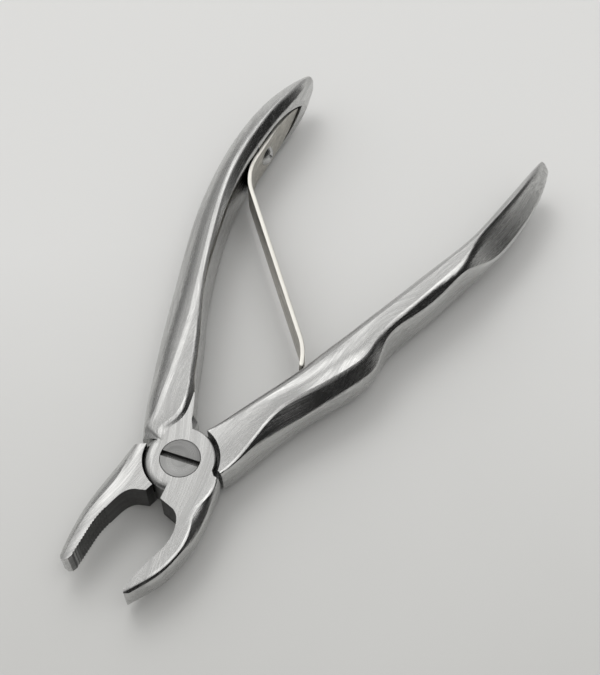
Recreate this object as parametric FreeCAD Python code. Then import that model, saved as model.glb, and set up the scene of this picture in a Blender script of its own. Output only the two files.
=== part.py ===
import FreeCAD, Part
import math
import os

V = FreeCAD.Vector

# ---------------------------------------------------------------- driving dimensions (mm, degrees)
JOINT_THICK = 7.5                     # full thickness of the lap joint
MID = JOINT_THICK / 2                 # height of the plane both levers are symmetric about
LAP_GAP = 0.06                        # running clearance between the two lap faces
DISC_R = 6.5                          # radius of each half-thickness disc
HANDLE_GAP = 0.75                     # arc gap between a disc and the other lever's handle root
BEAK_GAP = 0.35                       # arc gap between a disc and the other lever's beak root

LOWER_ANGLE = 74.4                    # direction of the lower lever's handle from +X
UPPER_ANGLE = 107.3                   # direction of the upper lever's handle from +X

SCREW_HEAD_R = 3.7
SCREW_HEAD_THICK = 1.5
SCREW_SHANK_R = 2.1
SCREW_RIM_R = 0.15
SCREW_FIT = 0.04                      # radial running clearance of the screw in the upper disc
SLOT_WIDTH = 1.1
SLOT_DEPTH = 1.0
SLOT_ANGLE = 12.0

LEAF_THICK = 0.9
LEAF_WIDTH = 7.4
LEAF_START = V(-25.4, 82.6, 0)        # upper end of the strip's centre line
LEAF_HEADING = 274.0                  # direction the strip leaves that end in
LEAF_SEAT_LENGTH = 18.2               # straight part that lies on the handle
LEAF_BEND_R = 11.5
LEAF_BEND_TURN = 43.0
LEAF_BLADE_LENGTH = 35.3
LEAF_FOOT_R = 13.0
LEAF_FOOT_TURN = -29.0
LEAF_END_TAPER = 11.0                 # length of the pointed upper end
SEAT_MARGIN = 0.5                     # room around the strip in its pocket
SEAT_LIFT = 0.25                      # the pocket is this much higher than the strip
FLEX_GAP = 0.05                       # gap around the flexure axis between base and blade

SPRING_SCREW_AT = 14.4                # distance of the spring screw from the upper end of the strip
SPRING_SCREW_HEAD_R = 2.1
SPRING_SCREW_HEAD_H = 1.1
SPRING_SCREW_SHANK_R = 1.1
SPRING_SCREW_LENGTH = 3.4

ROLL_R = 2.4                          # rounding of the joint's rim on the side away from the handle
ROLL_FROM = 4.9                       # radius where that rounding leaves the flat
HANDLE_EDGE_R = 0.4                   # softening of the long edges of the handles
BEAK_EDGE_R = 0.4                     # softening of the long edges of the beaks
BEAK_LEAN = 0.07                      # how far the beaks' outer sides lean in, per unit height
RIM_R = 0.5                           # rounding of the exposed rims of the lap joint
SHOULDER_SWELL = 0.1                  # bow of the beak shoulders, as a share of their size
SIDE_CROWN = 0.05                     # bow of the outer sides, as a share of their height
TOP_CROWN = 0.02                      # bow of the upper handle's top face, as a share of its width

TOOTH_PITCH = 0.62                    # serrations on the gripping faces
TOOTH_DEPTH = 0.16
TOOTH_FROM = -14.5
TOOTH_TO = -24.6

# Handle stations: distance from the pivot, then the section measured outwards from the handle's
# own axis line: inner face, height of the inner face, top face from, top face to, full height,
# outer side, height of the outer side, swell of the shoulder between top face and outer side, and
# the softening where the top face meets that shoulder. The lower handle's rows go on with the
# lean of the outer side (how far it moves in, per unit height) and the crown of the top face (its
# bow as a share of its width).
LOWER_HANDLE = [
    (3.3, -3.0, 7.1, -2.8, 7.1, 7.5, 7.3, 7.1, 0.0, 0.25, 0.0, 0.02),
    (7.0, -1.2, 6.7, -0.9, 7.05, 7.6, 7.6, 6.5, 0.05, 0.25, -0.03, 0.02),
    (12.0, -0.3, 6.9, 0.4, 6.3, 8.4, 7.5, 6.3, 0.05, 0.25, -0.08, 0.02),
    (20.0, 0.9, 8.2, 1.8, 5.5, 9.9, 8.6, 5.8, 0.06, 0.3, 0.02, 0.05),
    (27.0, 1.9, 9.2, 2.9, 7.2, 10.7, 9.9, 6.3, 0.06, 0.4, 0.08, 0.1),
    (31.0, 2.2, 9.4, 3.2, 8.1, 10.8, 10.6, 6.3, 0.06, 0.4, 0.08, 0.11),
    (35.0, 2.4, 9.6, 3.4, 8.8, 10.9, 11.1, 6.3, 0.06, 0.4, 0.08, 0.11),
    (39.0, 2.6, 9.4, 3.5, 8.8, 10.9, 10.9, 6.0, 0.06, 0.4, 0.08, 0.09),
    (43.0, 2.7, 9.2, 3.6, 7.6, 11.0, 9.0, 8.2, 0.06, 0.4, 0.0, 0.05),
    (52.0, 3.1, 9.2, 4.0, 7.1, 11.2, 8.6, 8.3, 0.06, 0.4, 0.02, 0.03),
    (60.0, 3.4, 9.6, 4.3, 7.3, 11.6, 8.8, 8.7, 0.06, 0.5, 0.04, 0.02),
    (66.0, 3.8, 10.2, 4.6, 7.4, 12.2, 8.7, 9.6, 0.06, 0.8, 0.06, 0.02),
    (72.0, 4.0, 11.0, 4.7, 5.8, 12.8, 9.3, 4.4, 0.0, 1.5, 0.15, 0.02),
    (80.0, 3.2, 11.6, 3.9, 4.6, 13.2, 8.7, 3.0, -0.1, 1.5, 0.2, 0.02),
    (88.0, 1.9, 10.6, 2.5, 3.3, 12.2, 6.8, 3.2, -0.1, 1.2, 0.2, 0.02),
    (94.0, 0.6, 7.6, 1.0, 1.8, 9.6, 4.4, 3.2, 0.0, 0.8, 0.2, 0.02),
    (98.0, -0.4, 3.2, -0.1, 0.7, 5.4, 2.1, 2.2, 0.1, 0.4, 0.2, 0.02),
]
UPPER_HANDLE = [
    (2.7, -5.0, 4.0, 3.9, 4.3, 7.5, 7.8, 5.7, 0.15, 0.5),
    (4.7, -3.8, 3.0, 5.0, 7.0, 8.1, 8.3, 5.8, 0.1, 0.5),
    (7.0, -2.4, 3.0, 3.5, 6.9, 8.5, 8.8, 5.0, 0.2, 0.5),
    (9.5, 0.2, 5.8, 2.4, 6.6, 8.8, 9.2, 4.6, 0.3, 0.5),
    (12.0, 0.8, 6.6, 2.1, 6.4, 9.1, 9.5, 4.4, 0.4, 0.5),
    (16.0, 1.7, 8.1, 2.5, 6.2, 9.6, 9.9, 4.2, 0.4, 0.5),
    (20.0, 2.4, 8.9, 3.2, 6.1, 10.1, 10.35, 4.0, 0.5, 0.5),
    (27.0, 3.6, 9.9, 4.2, 6.0, 11.2, 10.95, 4.0, 0.6, 0.5),
    (35.0, 5.1, 10.0, 5.5, 6.5, 11.8, 11.45, 4.0, 0.6, 0.5),
    (43.0, 5.8, 9.4, 6.5, 7.1, 11.8, 11.95, 4.0, 0.6, 0.5),
    (52.0, 6.1, 9.0, 7.1, 7.7, 11.8, 12.25, 4.0, 0.6, 0.5),
    (60.0, 5.8, 9.0, 7.2, 7.8, 12.0, 11.85, 4.2, 0.6, 0.5),
    (66.0, 5.0, 9.4, 6.6, 7.2, 12.6, 11.05, 4.6, 0.6, 0.5),
    (72.0, 3.5, 9.8, 5.3, 5.9, 13.2, 9.85, 5.0, 0.6, 0.5),
    (80.0, 0.9, 10.0, 2.7, 3.4, 13.4, 7.3, 5.6, 0.5, 0.5),
    (86.0, -1.1, 8.8, 0.3, 1.0, 11.8, 4.7, 5.2, 0.3, 0.5),
    (90.0, -1.9, 6.6, -1.0, -0.3, 9.4, 2.3, 4.2, 0.2, 0.5),
    (93.2, -2.3, 3.0, -1.8, -1.0, 5.2, 0.1, 2.4, 0.1, 0.5),
]

# Plan of the flat that runs from the joint up the upper handle, as (distance, outwards).
FLAT_EDGE = [(6.3, -0.5), (8.0, 0.12), (10.0, 0.38), (12.0, 0.78), (13.4, 1.1)]
FLAT_BACK = [(13.4, 2.6), (7.0, 5.0), (2.0, 5.0)]

# Beak stations, measured away from the tool's centre line: position along Y, top face to, outer
# side, full height, height of the outer side.
LOWER_BEAK_SIDE = -1
LOWER_BEAK_ROLL = 1.2                 # softening where the top face meets the shoulder
LOWER_BEAK = [
    (1.0, 7.9, 8.2, 7.5, 7.0),
    (-2.0, 7.9, 9.0, 7.5, 5.2),
    (-5.0, 7.0, 9.3, 7.5, 4.2),
    (-9.0, 6.5, 9.6, 7.4, 3.8),
    (-13.0, 6.9, 9.8, 7.3, 3.8),
    (-17.0, 7.2, 9.7, 7.1, 3.8),
    (-20.4, 7.1, 9.3, 6.9, 3.8),
    (-23.2, 6.8, 8.8, 6.7, 3.8),
    (-27.0, 6.3, 7.8, 6.5, 3.8),
]
UPPER_BEAK_SIDE = 1
UPPER_BEAK_ROLL = 0.25
UPPER_BEAK = [
    (1.0, 7.1, 7.7, 7.5, 5.8),
    (-1.6, 8.2, 8.8, 7.5, 5.6),
    (-3.6, 8.1, 9.2, 7.5, 5.0),
    (-5.6, 7.75, 9.7, 7.5, 4.4),
    (-7.8, 7.75, 10.1, 7.5, 4.2),
    (-10.4, 8.75, 10.4, 7.4, 4.4),
    (-14.0, 9.35, 10.15, 7.2, 5.5),
    (-17.0, 9.0, 9.75, 7.0, 5.4),
    (-20.0, 8.1, 8.95, 6.9, 5.2),
    (-23.0, 6.6, 7.55, 6.8, 5.0),
    (-27.0, 4.4, 5.4, 6.6, 4.8),
]

# Inner outline of each beak, from the end of its root to the tip (x, y).
LOWER_BEAK_INNER = [(-3.6, -9.0), (-4.7, -10.0), (-5.4, -11.6), (-5.95, -14.2), (-6.35, -17.0),
                    (-6.3, -19.7), (-6.15, -22.3), (-6.05, -24.7)]
UPPER_BEAK_INNER = [(4.3, -8.7), (5.4, -9.4), (6.45, -11.2), (6.9, -13.4), (6.6, -15.9),
                    (5.8, -19.1), (5.3, -21.8), (5.05, -23.6), (5.1, -24.8)]


# ---------------------------------------------------------------- helpers
def direction(angle):
    a = math.radians(angle)
    return V(math.cos(a), math.sin(a), 0)


def polar(radius, angle):
    return direction(angle) * radius


def rail(points, stations):
    """Smooth curve through one corner of every section."""
    curve = Part.BSplineCurve()
    curve.interpolate(Points=points, Parameters=stations)
    return curve


def bar_through(sections, stations):
    """Solid bar skinned over sections; a section is a list of (corner, control point of next side)."""
    count = len(sections[0])
    corners = [rail([s[i][0] for s in sections], stations) for i in range(count)]
    controls = [rail([s[i][1] for s in sections], stations) for i in range(count)]
    faces = []
    for i in range(count):
        across = [corners[i], controls[i], corners[(i + 1) % count]]
        surface = Part.BSplineSurface()
        surface.buildFromPolesMultsKnots([curve.getPoles() for curve in across], (3, 3),
                                         controls[i].getMultiplicities(), (0.0, 1.0),
                                         controls[i].getKnots(), False, False, 2, 3)
        faces.append(surface.toShape())
    for section in (sections[0], sections[-1]):
        faces.append(end_cap(section))
    shell = Part.makeShell(faces)
    shell.sewShape()
    solid = Part.makeSolid(Part.makeShell(shell.Faces))
    if solid.Volume < 0:
        solid.reverse()
    return solid


def end_cap(section):
    edges = []
    for i, (corner, control) in enumerate(section):
        side = Part.BezierCurve()
        side.setPoles([corner, control, section[(i + 1) % len(section)][0]])
        edges.append(side.toShape())
    return Part.Face(Part.Wire(edges))


def soften(corners, bows, radii):
    """Round every corner of a section whose sides are parabolas with the given bows."""
    count = len(corners)
    section = []
    for i in range(count):
        start = corners[i]
        end = corners[(i + 1) % count]
        control = (start + end) * 0.5 + bows[i] * 2
        length = (end - start).Length
        first = min(radii[i] / length, 0.4)
        last = 1 - min(radii[(i + 1) % count] / length, 0.4)

        def blossom(u, v):
            return (start * ((1 - u) * (1 - v)) + control * (u * (1 - v) + v * (1 - u))
                    + end * (u * v))

        section.append((blossom(first, first), blossom(first, last)))
        section.append((blossom(last, last), end))
    return section


def handle_section(origin, out, inner, inner_h, top_in, top_out, height, outer, side_h,
                   swell, roll, lean=0.0, top_crown=TOP_CROWN):
    """Eight-sided section about MID; 'out' points away from the other lever."""
    def at(distance, z):
        return origin + out * distance + V(0, 0, MID + z)

    run = outer - top_out
    drop = (height - side_h) / 2
    slope = math.hypot(run, drop)
    upper_bow = (out * drop + V(0, 0, run)) * (swell / slope)
    lower_bow = (out * drop + V(0, 0, -run)) * (swell / slope)
    crown = V(0, 0, top_crown * (top_out - top_in))
    straight = V(0, 0, 0)
    corners = [at(inner, inner_h / 2), at(top_in, height / 2), at(top_out, height / 2),
               at(outer, side_h / 2), at(outer - lean * side_h, -side_h / 2),
               at(top_out, -height / 2),
               at(top_in, -height / 2), at(inner, -inner_h / 2)]
    bows = [straight, crown, upper_bow, out * (SIDE_CROWN * side_h), lower_bow, crown * -1,
            straight, straight]
    radii = [HANDLE_EDGE_R] * len(corners)
    radii[2] = roll
    radii[5] = roll
    return soften(corners, bows, radii)


def handle(angle, out, rows):
    axis = direction(angle)
    sections = [handle_section(axis * row[0], out, *row[1:]) for row in rows]
    return bar_through(sections, [row[0] for row in rows])


def beak_section(y, side, roll, top_out, outer, height, side_h):
    def at(distance, z):
        return V(side * distance, y, MID + z)

    run = outer - top_out
    drop = (height - side_h) / 2
    straight = V(0, 0, 0)
    corners = [at(-3, height / 2), at(top_out, height / 2), at(outer, side_h / 2),
               at(outer - BEAK_LEAN * side_h, -side_h / 2), at(top_out, -height / 2),
               at(-3, -height / 2)]
    bows = [straight, V(side * drop, 0, run) * SHOULDER_SWELL,
            V(side * SIDE_CROWN * side_h, 0, 0), V(side * drop, 0, -run) * SHOULDER_SWELL,
            straight, straight]
    radii = [BEAK_EDGE_R] * len(corners)
    radii[1] = roll
    radii[4] = roll
    return soften(corners, bows, radii)


def beak_block(side, roll, rows):
    """Outer shaping of a beak: a bar from beyond the centre line out to the outer side."""
    sections = [beak_section(row[0], side, roll, *row[1:]) for row in rows]
    return bar_through(sections, [-row[0] for row in rows])


def serrated(points):
    """Replace the gripping stretch of an inner outline by even teeth."""
    curve = Part.BSplineCurve()
    curve.interpolate([V(x, y, 0) for x, y in points])
    outline = []
    grip = curve.toShape()
    count = int((TOOTH_FROM - TOOTH_TO) / TOOTH_PITCH)
    towards_tooth = 1 if points[0][0] > 0 else -1
    samples = grip.discretize(Number=400)
    smooth = [p for p in samples if p.y > TOOTH_FROM]
    outline.extend(smooth[::12])
    for i in range(2 * count + 1):
        y = TOOTH_FROM - i * TOOTH_PITCH / 2
        near = min(samples, key=lambda p: abs(p.y - y))
        depth = TOOTH_DEPTH if i % 2 else 0
        outline.append(near + V(towards_tooth * depth, 0, 0))
    outline.append(samples[-1])
    return outline


def prism(points, z_from, z_to):
    wire = Part.makePolygon(list(points) + [points[0]])
    face = Part.Face(wire)
    face.translate(V(0, 0, z_from))
    return face.extrude(V(0, 0, z_to - z_from))


def disc(radius, z_from, z_to):
    return Part.makeCylinder(radius, z_to - z_from, V(0, 0, z_from))


def rimmed_disc(radius, z_from, z_to, rim_z, rim_r):
    """Disc with the rim that lies at height rim_z rounded."""
    plain = disc(radius, z_from, z_to)
    rims = [e for e in plain.Edges if len(e.Vertexes) == 1 and abs(e.CenterOfMass.z - rim_z) < 1e-6]
    return plain.makeFillet(rim_r, rims)


def sector(angle_from, angle_to, reach, z_from=-5, z_to=15):
    middle = (angle_from + angle_to) / 2
    points = [V(0, 0, 0), polar(reach, angle_from), polar(reach * 1.4, middle),
              polar(reach, angle_to)]
    return prism(points, z_from, z_to)


# ---------------------------------------------------------------- levers
def rim_roll():
    """Cutter that rolls the joint's upper rim over, away from the handle."""
    drop = ROLL_R - math.sqrt(ROLL_R ** 2 - (DISC_R - ROLL_FROM) ** 2)
    centre = V(ROLL_FROM, 0, JOINT_THICK - ROLL_R)
    middle = math.asin((DISC_R - ROLL_FROM) / ROLL_R) / 2
    arc = Part.Arc(V(ROLL_FROM, 0, JOINT_THICK),
                   centre + V(math.sin(middle), 0, math.cos(middle)) * ROLL_R,
                   V(DISC_R, 0, JOINT_THICK - drop))
    outside = Part.makePolygon([V(DISC_R, 0, JOINT_THICK - drop),
                                V(DISC_R + 1, 0, JOINT_THICK - drop),
                                V(DISC_R + 1, 0, JOINT_THICK + 1), V(ROLL_FROM, 0, JOINT_THICK + 1),
                                V(ROLL_FROM, 0, JOINT_THICK)])
    profile = Part.Face(Part.Wire([arc.toShape()] + outside.Edges))
    profile.rotate(V(0, 0, 0), V(0, 0, 1), 150)
    return profile.revolve(V(0, 0, 0), V(0, 0, 1), 135)


def joint_flat():
    """The flat of the joint continued up the inner edge of the upper handle."""
    axis = direction(UPPER_ANGLE)
    out = direction(UPPER_ANGLE + 90)
    plan = [V(0, 0, 0)] + [axis * s + out * n for s, n in FLAT_EDGE + FLAT_BACK]
    return prism(plan, 0, JOINT_THICK)


def beak_outline(inner, root_angle, root_r, tip, back):
    """Plan outline of a beak: from the pivot along the root's end, the inner edge, the tip."""
    points = [V(0, 0, 0), polar(root_r, root_angle)]
    points.extend(serrated(inner))
    points.extend(V(x, y, 0) for x, y in tip)
    points.extend(V(x, y, 0) for x, y in back)
    return points


def upper_lever():
    out = direction(UPPER_ANGLE + 90)
    bar = handle(UPPER_ANGLE, out, UPPER_HANDLE)
    bar = bar.cut(sector(20, 102, 14).cut(disc(DISC_R, -6, 16)))
    outline = beak_outline(UPPER_BEAK_INNER, -81, 8.3, [(5.1, -25.3), (5.5, -25.7)],
                           [(12, -20), (12, 0.2), (7.0, 0.2), (6.2, 0.9)])
    beak = prism(outline, -1, 9).common(beak_block(UPPER_BEAK_SIDE, UPPER_BEAK_ROLL, UPPER_BEAK))
    joint = rimmed_disc(DISC_R, 0, JOINT_THICK, JOINT_THICK, RIM_R).cut(rim_roll())
    lever = bar.fuse([joint, joint_flat(), beak])
    lever = lever.cut(disc(DISC_R + BEAK_GAP, -6, MID + LAP_GAP / 2))
    head_z = JOINT_THICK - SCREW_HEAD_THICK - 0.05
    lever = lever.cut(disc(SCREW_HEAD_R + SCREW_FIT, head_z, 20))
    lever = lever.cut(disc(SCREW_SHANK_R + SCREW_FIT, -1, 20))
    lever = lever.cut(spring_seat())
    lever = lever.cut(spring_screw_hole())
    return lever.removeSplitter()


def lower_lever():
    out = direction(LOWER_ANGLE - 90)
    bar = handle(LOWER_ANGLE, out, LOWER_HANDLE)
    bar = bar.cut(sector(81, 170, 14).cut(disc(DISC_R, -6, 16)))
    bar = bar.cut(disc(DISC_R + HANDLE_GAP, MID - LAP_GAP / 2, 20))
    outline = beak_outline(LOWER_BEAK_INNER, -102.5, 8.4, [(-6.3, -25.5), (-6.9, -26.0)],
                           [(-7.6, -26.0), (-9.2, -24.4), (-12, -20), (-12, -3.0), (-8.3, -1.6),
                            (-6.7, -0.55)])
    beak = prism(outline, -1, 9).common(beak_block(LOWER_BEAK_SIDE, LOWER_BEAK_ROLL, LOWER_BEAK))
    beak = beak.cut(disc(DISC_R + BEAK_GAP, MID - LAP_GAP / 2, 20))
    joint = rimmed_disc(DISC_R, 0, MID - LAP_GAP / 2, 0, RIM_R)
    lever = bar.fuse([joint, beak])
    lever = lever.cut(disc(SCREW_SHANK_R, -1, 20))
    return lever.removeSplitter()


# ---------------------------------------------------------------- pivot screw
def pivot_screw():
    head = rimmed_disc(SCREW_HEAD_R, JOINT_THICK - SCREW_HEAD_THICK, JOINT_THICK, JOINT_THICK,
                       SCREW_RIM_R)
    shank = disc(SCREW_SHANK_R, 0, JOINT_THICK - SCREW_HEAD_THICK)
    screw = head.fuse(shank).removeSplitter()
    slot = Part.makeBox(4 * SCREW_HEAD_R, SLOT_WIDTH, SLOT_DEPTH + 1,
                        V(-2 * SCREW_HEAD_R, -SLOT_WIDTH / 2, JOINT_THICK - SLOT_DEPTH))
    slot.rotate(V(0, 0, 0), V(0, 0, 1), SLOT_ANGLE)
    return screw.cut(slot)


# ---------------------------------------------------------------- leaf spring
def advance(point, heading, length=0.0, radius=0.0, turn=0.0):
    """End point and heading after a straight length or an arc (turn is positive to the left)."""
    if length:
        return point + direction(heading) * length, heading
    to_centre = direction(heading + math.copysign(90, turn)) * radius
    rotation = FreeCAD.Rotation(V(0, 0, 1), turn)
    return point + to_centre + rotation.multVec(to_centre * -1), heading + turn


def strip_segment(point, heading, length=0.0, radius=0.0, turn=0.0):
    """Solid for one straight or bent stretch of the strip, centred on its path."""
    across = direction(heading + 90) * (LEAF_THICK / 2)
    low = V(0, 0, MID - LEAF_WIDTH / 2)
    up = V(0, 0, LEAF_WIDTH)
    edge = Part.makeLine(point + across + low, point - across + low)
    face = edge.extrude(up)
    if length:
        return face.extrude(direction(heading) * length)
    centre = point + direction(heading + math.copysign(90, turn)) * radius
    return face.revolve(centre, V(0, 0, math.copysign(1, turn)), abs(turn))


def round_end(point):
    low = point + V(0, 0, MID - LEAF_WIDTH / 2)
    return Part.makeCylinder(LEAF_THICK / 2, LEAF_WIDTH, low)


def leaf_path():
    """Points and headings at the start of each stretch of the strip, and at its end."""
    bend_start, heading = advance(LEAF_START, LEAF_HEADING, length=LEAF_SEAT_LENGTH)
    flex, flex_heading = advance(bend_start, heading, radius=LEAF_BEND_R, turn=LEAF_BEND_TURN / 2)
    bend_end, blade_heading = advance(flex, flex_heading, radius=LEAF_BEND_R,
                                      turn=LEAF_BEND_TURN / 2)
    foot, foot_heading = advance(bend_end, blade_heading, length=LEAF_BLADE_LENGTH)
    tip, tip_heading = advance(foot, foot_heading, radius=LEAF_FOOT_R, turn=LEAF_FOOT_TURN)
    return {
        "bend": (bend_start, heading), "flex": (flex, flex_heading),
        "blade": (bend_end, blade_heading), "foot": (foot, foot_heading),
        "tip": (tip, tip_heading),
    }


def leaf_end_outline(margin=0.0):
    """Strip with its pointed upper end, seen square to the strip, as a prism across it."""
    along = direction(LEAF_HEADING)
    across = direction(LEAF_HEADING + 90)

    def at(distance, z):
        return LEAF_START + along * distance + V(0, 0, MID + z) - across * 3

    half = LEAF_WIDTH / 2 + margin
    point = at(-1.5 * margin, 0)
    rise = Part.Arc(at(LEAF_END_TAPER, half), at(0.34 * LEAF_END_TAPER, 0.72 * half), point)
    fall = Part.Arc(point, at(0.34 * LEAF_END_TAPER, -0.72 * half), at(LEAF_END_TAPER, -half))
    sides = Part.makePolygon([at(LEAF_END_TAPER, -half), at(40, -half), at(40, half),
                              at(LEAF_END_TAPER, half)])
    wire = Part.Wire([rise.toShape(), fall.toShape()] + sides.Edges)
    return Part.Face(wire).extrude(across * 20)


def spring_base():
    path = leaf_path()
    seat = strip_segment(LEAF_START, LEAF_HEADING, length=LEAF_SEAT_LENGTH)
    seat = seat.common(leaf_end_outline())
    point, heading = path["bend"]
    bend = strip_segment(point, heading, radius=LEAF_BEND_R, turn=LEAF_BEND_TURN / 2)
    flex = path["flex"][0]
    clearance = Part.makeCylinder(LEAF_THICK / 2 + FLEX_GAP, 3 * LEAF_WIDTH, flex + V(0, 0, -8))
    base = seat.fuse(bend).cut(clearance)
    return base.cut(spring_screw_hole()).removeSplitter()


def spring_blade():
    path = leaf_path()
    point, heading = path["flex"]
    bend = strip_segment(point, heading, radius=LEAF_BEND_R, turn=LEAF_BEND_TURN / 2)
    point, heading = path["blade"]
    blade = strip_segment(point, heading, length=LEAF_BLADE_LENGTH)
    point, heading = path["foot"]
    foot = strip_segment(point, heading, radius=LEAF_FOOT_R, turn=LEAF_FOOT_TURN)
    ends = [round_end(path["flex"][0]), round_end(path["tip"][0])]
    return bend.fuse([blade, foot] + ends).removeSplitter()


def spring_seat():
    """Pocket the strip lies on, with the strip's outline, open towards the other handle."""
    along = direction(LEAF_HEADING)
    across = direction(LEAF_HEADING + 90)
    outwards = across * -1
    corner = LEAF_START - along * 2 + outwards * (LEAF_THICK / 2)
    width = LEAF_WIDTH + 4 * SEAT_MARGIN
    edge = Part.makeLine(corner + V(0, 0, MID - width / 2), corner + V(0, 0, MID + width / 2))
    pocket = edge.extrude(along * (LEAF_SEAT_LENGTH + 3.5)).extrude(across * 12)
    return pocket.common(leaf_end_outline(SEAT_MARGIN).translated(V(0, 0, SEAT_LIFT)))


# ---------------------------------------------------------------- spring screw
def spring_screw_place():
    along = direction(LEAF_HEADING)
    across = direction(LEAF_HEADING + 90)
    centre = LEAF_START + along * SPRING_SCREW_AT + V(0, 0, MID)
    return centre + across * (LEAF_THICK / 2), across


def spring_screw_hole():
    seat, across = spring_screw_place()
    start = seat - across * SPRING_SCREW_LENGTH
    return Part.makeCylinder(SPRING_SCREW_SHANK_R, SPRING_SCREW_LENGTH + 0.02, start, across)


def spring_screw():
    seat, across = spring_screw_place()
    start = seat - across * SPRING_SCREW_LENGTH
    shank = Part.makeCylinder(SPRING_SCREW_SHANK_R, SPRING_SCREW_LENGTH, start, across)
    head = Part.makeCylinder(SPRING_SCREW_HEAD_R, SPRING_SCREW_HEAD_H, seat, across)
    ball_r = (SPRING_SCREW_HEAD_R ** 2 + SPRING_SCREW_HEAD_H ** 2) / (2 * SPRING_SCREW_HEAD_H)
    ball = Part.makeSphere(ball_r, seat + across * (SPRING_SCREW_HEAD_H - ball_r))
    head = head.common(ball)
    slot = Part.makeBox(1.0, 0.6, 6.0, V(-0.5, -0.3, -3.0))
    slot.rotate(V(0, 0, 0), V(1, 0, 0), 25)
    slot.translate(seat + across * (SPRING_SCREW_HEAD_H + 0.05))
    return shank.fuse(head).removeSplitter().cut(slot)


# ---------------------------------------------------------------- build and save
def save(shape, name):
    shape.exportStep(os.path.join("parts", name + ".step"))


os.makedirs("parts", exist_ok=True)
save(lower_lever(), "lower_lever")
save(upper_lever(), "upper_lever")
save(pivot_screw(), "pivot_screw")
save(spring_base(), "spring_base")
save(spring_blade(), "spring_blade")
save(spring_screw(), "spring_screw")
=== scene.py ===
import math

import bmesh
import bpy
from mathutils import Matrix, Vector

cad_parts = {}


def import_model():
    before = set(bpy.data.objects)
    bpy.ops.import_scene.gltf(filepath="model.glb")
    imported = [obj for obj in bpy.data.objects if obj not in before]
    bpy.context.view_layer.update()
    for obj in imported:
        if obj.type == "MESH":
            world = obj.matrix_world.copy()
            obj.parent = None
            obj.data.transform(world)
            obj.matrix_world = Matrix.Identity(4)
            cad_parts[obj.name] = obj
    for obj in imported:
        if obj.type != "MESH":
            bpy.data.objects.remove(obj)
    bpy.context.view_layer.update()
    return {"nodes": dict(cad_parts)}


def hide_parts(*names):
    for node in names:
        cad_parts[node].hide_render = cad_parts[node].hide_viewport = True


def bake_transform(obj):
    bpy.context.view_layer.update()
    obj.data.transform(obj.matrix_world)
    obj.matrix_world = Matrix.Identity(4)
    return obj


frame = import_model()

MM = 0.001

# ---------------------------------------------------------------- the frame's own dimensions (mm)
MID = 3.75                            # middle height of the joint, both levers and the strip
SLOT_ANGLE = 12.0                     # direction of the screw slot from +X
LOWER_ANGLE = 74.4                    # direction of the lower lever's handle from +X
UPPER_ANGLE = 107.3

LEAF_THICK = 0.9
LEAF_WIDTH = 7.4
LEAF_START = Vector((-25.4, 82.6, 0))
LEAF_HEADING = 274.0
LEAF_SEAT_LENGTH = 18.2
LEAF_BEND_R = 11.5
LEAF_BEND_TURN = 43.0
LEAF_BLADE_LENGTH = 35.3
LEAF_FOOT_R = 13.0
LEAF_FOOT_TURN = -29.0
LEAF_END_TAPER = 11.0
LEAF_EDGE_R = 0.16
LEAF_FOOT_EDGE = 0.45                 # length of the slightly thinner edge at the foot


def direction(angle):
    a = math.radians(angle)
    return Vector((math.cos(a), math.sin(a), 0))


# ---------------------------------------------------------------- node helpers
class Nodes:
    """A node tree with short calls for the nodes that the metals, the paper and the room use."""

    def __init__(self, tree):
        self.tree = tree
        self.shader = tree.nodes.get("Principled BSDF")

    def add(self, kind, inputs=None, **settings):
        node = self.tree.nodes.new(kind)
        for key, value in settings.items():
            setattr(node, key, value)
        for key, value in (inputs or {}).items():
            self.put(value, node.inputs[key])
        return node

    def put(self, value, socket):
        if isinstance(value, bpy.types.NodeSocket):
            self.tree.links.new(value, socket)
        else:
            socket.default_value = value

    def math(self, operation, a, b=0.0, c=0.0):
        return self.add("ShaderNodeMath", {0: a, 1: b, 2: c}, operation=operation).outputs[0]

    def spread(self, value, low, high, to_low, to_high):
        node = self.add("ShaderNodeMapRange", {"Value": value, "From Min": low, "From Max": high,
                                               "To Min": to_low, "To Max": to_high})
        return node.outputs["Result"]

    def apart(self, vector):
        return self.add("ShaderNodeSeparateXYZ", {"Vector": vector}).outputs

    def colour(self, factor, a, b):
        node = self.add("ShaderNodeMix", data_type="RGBA")
        self.put(factor, node.inputs[0])
        self.put(a, node.inputs[6])
        self.put(b, node.inputs[7])
        return node.outputs[2]

    def place(self, turn=0.0):
        """Object position in millimetres, turned about +Z."""
        coords = self.add("ShaderNodeTexCoord")
        turned = self.add("ShaderNodeMapping", {"Vector": coords.outputs["Object"]})
        turned.inputs["Rotation"].default_value[2] = math.radians(turn)
        turned.inputs["Scale"].default_value = (1000, 1000, 1000)
        return turned.outputs[0]

    def noise(self, vector, scale, stretch=(1, 1, 1), detail=2.0, rough=0.5):
        mapped = self.add("ShaderNodeMapping", {"Vector": vector})
        mapped.inputs["Scale"].default_value = stretch
        node = self.add("ShaderNodeTexNoise", {"Vector": mapped.outputs[0], "Scale": scale,
                                               "Detail": detail, "Roughness": rough})
        return node.outputs["Fac"]


def new_material(name):
    material = bpy.data.materials.new(name)
    material.use_nodes = True
    return material


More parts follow.
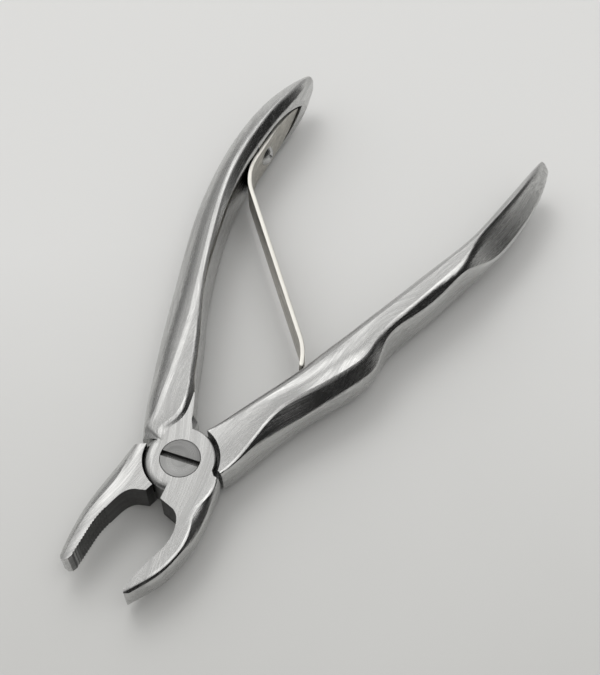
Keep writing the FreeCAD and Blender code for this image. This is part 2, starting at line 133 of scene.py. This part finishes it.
STEEL = (0.64, 0.64, 0.63, 1)
STEEL_DULL = (0.44, 0.44, 0.435, 1)
CREVICE_PAINTED_SHADE = (0.012, 0.012, 0.012, 1)      # painted shade in the gaps of the joint and in the slots
GRIP_PAINTED_SHADE = (0.10, 0.10, 0.098, 1)   # painted shade on the gripping faces, which are also made matt
SCREW_STEEL = (0.40, 0.40, 0.395, 1)
SCREW_DULL = (0.28, 0.28, 0.276, 1)
SCREW_PAINTED_SHADE = (0.16, 0.16, 0.158, 1) # painted shade on one side of the slot
STRIP_STEEL = (0.60, 0.58, 0.53, 1)
STRIP_DULL = (0.40, 0.385, 0.35, 1)
STRIP_PAINTED_HIGHLIGHT = (0.92, 0.90, 0.84, 1)    # painted highlight on the edges of the strip, which face up and down
# paper colour near the viewer and far off: the change between them is painted shade
PAPER_NEAR = (0.50, 0.50, 0.488, 1)
PAPER_FAR = (0.63, 0.63, 0.622, 1)
CREVICE_SHADE_REACH = 1.3 * MM
MOUTH = Vector((0, -16, MID))         # middle of the opening between the beaks


def rings_round_pivot(n, place):
    """Coordinates that run round the pivot: arc, radius, height."""
    x, y, z = n.apart(place)
    radius = n.math("SQRT", n.math("ADD", n.math("POWER", x, 2.0), n.math("POWER", y, 2.0)))
    angle = n.math("ARCTAN2", y, x)
    return n.add("ShaderNodeCombineXYZ", {0: n.math("MULTIPLY", angle, 3.0), 1: radius,
                                          2: z}).outputs[0]


def crevice_shade(n):
    """Painted shade mask: 1 in tight gaps and inner corners, 0 on open faces."""
    open_sky = n.add("ShaderNodeAmbientOcclusion", {"Distance": CREVICE_SHADE_REACH}, samples=12)
    return n.spread(open_sky.outputs["AO"], 0.30, 0.80, 1.0, 0.0)


def grip_faces(n):
    """Painted shade mask: 1 on the upright faces that look into the mouth between the beaks."""
    coords = n.add("ShaderNodeTexCoord")
    place = coords.outputs["Object"]
    to_mouth = n.add("ShaderNodeVectorMath", {0: MOUTH * MM, 1: place}, operation="SUBTRACT")
    to_mouth = n.add("ShaderNodeVectorMath", {0: to_mouth.outputs[0]}, operation="NORMALIZE")
    facing = n.add("ShaderNodeVectorMath", {0: to_mouth.outputs[0], 1: coords.outputs["Normal"]},
                   operation="DOT_PRODUCT").outputs["Value"]
    upright = n.spread(n.math("ABSOLUTE", n.apart(coords.outputs["Normal"])[2]), 0.4, 0.7, 1.0, 0.0)
    beyond_root = n.spread(n.apart(place)[1], -5.5 * MM, -7.0 * MM, 0.0, 1.0)
    return n.math("MULTIPLY", n.spread(facing, 0.10, 0.35, 0.0, 1.0),
                  n.math("MULTIPLY", upright, beyond_root))


def steel(name, turn, base=STEEL, dull=STEEL_DULL, rough=(0.16, 0.34), scratch=0.4, radial=False,
          grips=False):
    """Satin steel with grinding marks along a direction, or in rings round the pivot."""
    material = new_material(name)
    n = Nodes(material.node_tree)
    place = n.place(turn)
    if radial:
        place = rings_round_pivot(n, place)
    bend = n.noise(place, 0.05, (1.0, 1.0, 0.0), detail=0.0)
    shift = n.add("ShaderNodeCombineXYZ", {1: n.math("MULTIPLY", bend, 9.0)}).outputs[0]
    place = n.add("ShaderNodeVectorMath", {0: place, 1: shift}, operation="ADD").outputs[0]
    hair = n.noise(place, 1.0, (0.10, 16.0, 16.0), detail=3.0, rough=0.6)
    streak = n.noise(place, 1.0, (0.045, 3.2, 3.2), detail=2.0, rough=0.55)
    broad = n.noise(place, 1.0, (0.03, 0.7, 0.7), detail=2.0)
    speckle = n.noise(place, 11.0, detail=2.0)

    marks = n.math("MULTIPLY_ADD", streak, 0.55, n.math("MULTIPLY", hair, 0.45))
    lightness = n.math("MULTIPLY_ADD", broad, 0.4, n.math("MULTIPLY", marks, 0.6))
    colour = n.colour(n.spread(lightness, 0.36, 0.62, 0.0, 1.0), dull, base)
    roughness = n.spread(lightness, 0.38, 0.62, rough[1], rough[0])
    if grips:
        grip_shade = grip_faces(n)
        # painted shade on the gripping faces; the roughness rise below makes them matt
        colour = n.colour(grip_shade, colour, GRIP_PAINTED_SHADE)
        roughness = n.math("MULTIPLY_ADD", grip_shade, 0.25, roughness)
    # painted shade: the colour goes near black in tight gaps and inner corners
    n.put(n.colour(crevice_shade(n), colour, CREVICE_PAINTED_SHADE), n.shader.inputs["Base Color"])
    n.put(roughness, n.shader.inputs["Roughness"])
    height = n.math("MULTIPLY_ADD", speckle, 0.12, marks)
    bump = n.add("ShaderNodeBump", {"Strength": scratch, "Distance": 0.00006, "Height": height})
    n.put(bump.outputs[0], n.shader.inputs["Normal"])
    n.shader.inputs["Metallic"].default_value = 1.0
    return material


def turned_screw():
    """Screw head with turning rings; one side of the slot is painted darker than the other: painted
    shade.
    """
    material = steel("turned_steel", 0, base=SCREW_STEEL, dull=SCREW_DULL,
                     rough=(0.24, 0.38), scratch=0.35, radial=True)
    n = Nodes(material.node_tree)
    n.shader.inputs["Anisotropic"].default_value = 0.6
    across_slot = n.apart(n.place(-SLOT_ANGLE))[1]
    # painted shade: one side of the slot is darkened
    shaded_half = n.spread(across_slot, -0.2, 0.2, 0.0, 0.5)
    colour = n.shader.inputs["Base Color"].links[0].from_socket
    n.put(n.colour(shaded_half, colour, SCREW_PAINTED_SHADE), n.shader.inputs["Base Color"])
    return material


def dress(node, material):
    slots = frame["nodes"][node].data.materials
    slots.clear()
    slots.append(material)


dress("lower_lever", steel("satin_steel_lower", -LOWER_ANGLE, grips=True))
dress("upper_lever", steel("satin_steel_upper", -UPPER_ANGLE, grips=True))
dress("pivot_screw", turned_screw())
dress("spring_screw", steel("screw_steel", -LEAF_HEADING, rough=(0.2, 0.3)))


# ---------------------------------------------------------------- leaf spring
def leaf_centre_line():
    """Centre line of the strip as (point, heading, distance) from the pointed end to the foot."""
    line = []
    point = LEAF_START.copy()
    heading = LEAF_HEADING
    travelled = 0.0
    stretches = [(LEAF_SEAT_LENGTH, 0, 40), (math.radians(LEAF_BEND_TURN) * LEAF_BEND_R,
                 LEAF_BEND_TURN, 36), (LEAF_BLADE_LENGTH, 0, 50),
                 (math.radians(abs(LEAF_FOOT_TURN)) * LEAF_FOOT_R, LEAF_FOOT_TURN, 24)]
    for length, turn, steps in stretches:
        for _ in range(steps):
            line.append((point.copy(), heading, travelled))
            heading += turn / steps / 2
            point += direction(heading) * (length / steps)
            heading += turn / steps / 2
            travelled += length / steps
    line.append((point.copy(), heading, travelled))
    return line


def strip_section(half_thick, half_width, radius, steps=4):
    """Rounded rectangle: (across the strip, along Z) points, counter-clockwise."""
    points = []
    radius = min(radius, 0.98 * half_thick, 0.98 * half_width)
    for quarter, (side_a, side_z) in enumerate([(1, 1), (-1, 1), (-1, -1), (1, -1)]):
        for k in range(steps + 1):
            a = math.radians(90 * quarter + 90 * k / steps)
            points.append((side_a * (half_thick - radius) + radius * math.cos(a),
                           side_z * (half_width - radius) + radius * math.sin(a)))
    return points


def spring_steel():
    """Warm satin strip steel: its edges, which face up and down, are painted brighter than the
    rolled faces: painted highlight.
    """
    material = steel("spring_steel", -LEAF_HEADING - LEAF_BEND_TURN, base=STRIP_STEEL,
                     dull=STRIP_DULL, rough=(0.34, 0.5), scratch=0.3)
    n = Nodes(material.node_tree)
    normal = n.add("ShaderNodeTexCoord").outputs["Normal"]
    edge = n.spread(n.math("ABSOLUTE", n.apart(normal)[2]), 0.45, 0.85, 0.0, 1.0)
    rolled = n.shader.inputs["Base Color"].links[0].from_socket
    # painted highlight on the edges of the strip
    n.put(n.colour(edge, rolled, STRIP_PAINTED_HIGHLIGHT), n.shader.inputs["Base Color"])
    return material


def leaf_spring():
    mesh = bpy.data.meshes.new("leaf_spring")
    bm = bmesh.new()
    rings = []
    line = leaf_centre_line()
    total = line[-1][2]
    for point, heading, distance in line:
        share = min(1.0, distance / LEAF_END_TAPER)
        half_width = LEAF_WIDTH / 2 * max(0.03, math.sin(share * math.pi / 2) ** 0.8)
        half_thick = LEAF_THICK / 2
        if total - distance < LEAF_FOOT_EDGE:
            half_thick *= 0.75
        across = direction(heading + 90)
        section = strip_section(half_thick, half_width, LEAF_EDGE_R)
        rings.append([bm.verts.new((point + across * a + Vector((0, 0, MID + z))) * MM)
                      for a, z in section])
    for ring, following in zip(rings, rings[1:]):
        for i in range(len(ring)):
            j = (i + 1) % len(ring)
            bm.faces.new((ring[i], following[i], following[j], ring[j]))
    bm.faces.new(rings[0])
    bm.faces.new(list(reversed(rings[-1])))
    bmesh.ops.recalc_face_normals(bm, faces=bm.faces)
    bm.to_mesh(mesh)
    bm.free()
    for polygon in mesh.polygons:
        polygon.use_smooth = True
    spring = bpy.data.objects.new("leaf_spring", mesh)
    bpy.context.collection.objects.link(spring)
    mesh.materials.append(spring_steel())
    return spring


spring = leaf_spring()
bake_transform(spring)
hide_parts("spring_base", "spring_blade")


# ---------------------------------------------------------------- studio
def sheet_object(name, corners, material):
    mesh = bpy.data.meshes.new(name)
    mesh.from_pydata(corners, [], [(0, 1, 2, 3)])
    mesh.materials.append(material)
    obj = bpy.data.objects.new(name, mesh)
    bpy.context.collection.objects.link(obj)
    return obj


FLOOR_HALF = 2.5                      # metres
FLOOR_SLOPE = -0.0185                 # the forceps rest on the bellies of both handles


def floor_paper():
    """Pale paper, painted a little darker towards the viewer: painted shade."""
    material = new_material("pale_floor")
    n = Nodes(material.node_tree)
    place = n.place()
    x, y, _ = n.apart(place)
    away = n.math("SUBTRACT", n.math("MULTIPLY", y, 0.857), n.math("MULTIPLY", x, 0.515))
    mottle = n.noise(place, 0.03, detail=3.0)
    shade = n.math("MULTIPLY_ADD", mottle, 16.0, away)
    # painted shade: darker towards the viewer, with random mottle
    paper = n.colour(n.spread(shade, -40.0, 60.0, 0.0, 1.0), PAPER_NEAR, PAPER_FAR)
    n.put(paper, n.shader.inputs["Base Color"])
    n.shader.inputs["Roughness"].default_value = 0.7
    return material


def floor(pieces):
    """A tilted sheet of paper that just touches the given pieces from below."""
    corners = [piece.matrix_world @ v.co for piece in pieces for v in piece.data.vertices]
    height = min(c.z - FLOOR_SLOPE * c.y for c in corners)

    def at(x, y):
        return (x, y, height + FLOOR_SLOPE * y)

    ends = (-FLOOR_HALF, FLOOR_HALF)
    left, right = [[at(x, y) for y in ends] for x in ends]
    return sheet_object("floor", [left[0], right[0], right[1], left[1]], floor_paper())


def area_light(name, where, target, size, power):
    light = bpy.data.lights.new(name, "AREA")
    light.shape = "RECTANGLE"
    light.size, light.size_y = size
    light.energy = power
    obj = bpy.data.objects.new(name, light)
    bpy.context.collection.objects.link(obj)
    obj.location = where
    obj.rotation_euler = (Vector(target) - Vector(where)).to_track_quat("-Z", "Y").to_euler()
    return obj


def world(base, glows, fill):
    """Dark room with soft glows: (direction, bright within, gone beyond in degrees, strength).
    Matt surfaces also get an even fill."""
    w = bpy.data.worlds.new("studio")
    w.use_nodes = True
    n = Nodes(w.node_tree)
    coords = n.add("ShaderNodeTexCoord")
    total = base
    for towards, inner, outer, strength in glows:
        facing = n.add("ShaderNodeVectorMath", {0: coords.outputs["Generated"],
                                                1: Vector(towards).normalized()},
                       operation="DOT_PRODUCT")
        glow = n.add("ShaderNodeMapRange", {"Value": facing.outputs["Value"],
                                            "From Min": math.cos(math.radians(outer)),
                                            "From Max": math.cos(math.radians(inner)),
                                            "To Min": 0.0, "To Max": strength},
                     interpolation_type="SMOOTHSTEP")
        total = n.math("ADD", total, glow.outputs["Result"])
    rays = n.add("ShaderNodeLightPath")
    total = n.math("MULTIPLY_ADD", rays.outputs["Is Diffuse Ray"], fill, total)
    back = n.tree.nodes["Background"]
    n.put(total, back.inputs["Strength"])
    back.inputs["Color"].default_value = (1.0, 0.995, 0.985, 1)
    bpy.context.scene.world = w


ROOM_BASE = 0.022                     # strength of the dark room itself
ROOM_FILL = 0.50                      # extra strength for matt surfaces only
ROOM_GLOWS = [                        # (direction, bright within, gone beyond in degrees, strength)
    ((-0.28, 0.36, 0.89), 14, 38, 0.52),
    ((-0.50, 0.42, 0.78), 4, 22, 0.75),
    ((-0.80, 0.10, 0.80), 8, 30, 0.50),
    ((-0.92, 0.25, 0.40), 8, 30, 0.22),
    ((-0.60, 0.70, 0.40), 10, 45, 0.22),
    ((-0.10, 1.00, 0.30), 15, 50, 0.40),
    ((0.52, 0.84, 0.22), 6, 20, 0.12),
    ((-0.74, 0.67, 0.12), 6, 20, 0.35),
    ((0.05, -0.95, 0.25), 12, 38, 0.35),
    ((-0.80, -0.50, 0.35), 12, 34, 0.28),
    ((0.38, -0.22, 0.90), 6, 20, 0.40),
    ((0.26, 0.22, 0.94), 10, 22, 1.5),
    ((-0.45, -0.20, 0.85), 6, 24, 0.6),
]

floor([frame["nodes"][lever] for lever in ("lower_lever", "upper_lever")])
world(ROOM_BASE, ROOM_GLOWS, ROOM_FILL)
key = area_light("key", (-0.45, 0.40, 0.85), (0, 0.03, 0), (0.50, 0.50), 1.7)
key.visible_glossy = False            # its sharp square isn't mirrored in the steel
bpy.context.scene.view_settings.view_transform = "Standard"


# ---------------------------------------------------------------- camera
CAMERA_AT = Vector((0.068665, -0.072589, 0.219754))
CAMERA_TARGET = Vector((0.00332, 0.036164, 0))


def camera():
    data = bpy.data.cameras.new("camera")
    data.sensor_fit = "VERTICAL"
    data.sensor_height = 36
    data.lens = 69.33
    data.clip_start = 0.01
    obj = bpy.data.objects.new("camera", data)
    bpy.context.collection.objects.link(obj)
    obj.location = CAMERA_AT
    obj.rotation_euler = (CAMERA_TARGET - CAMERA_AT).to_track_quat("-Z", "Y").to_euler()
    bpy.context.scene.camera = obj


camera()
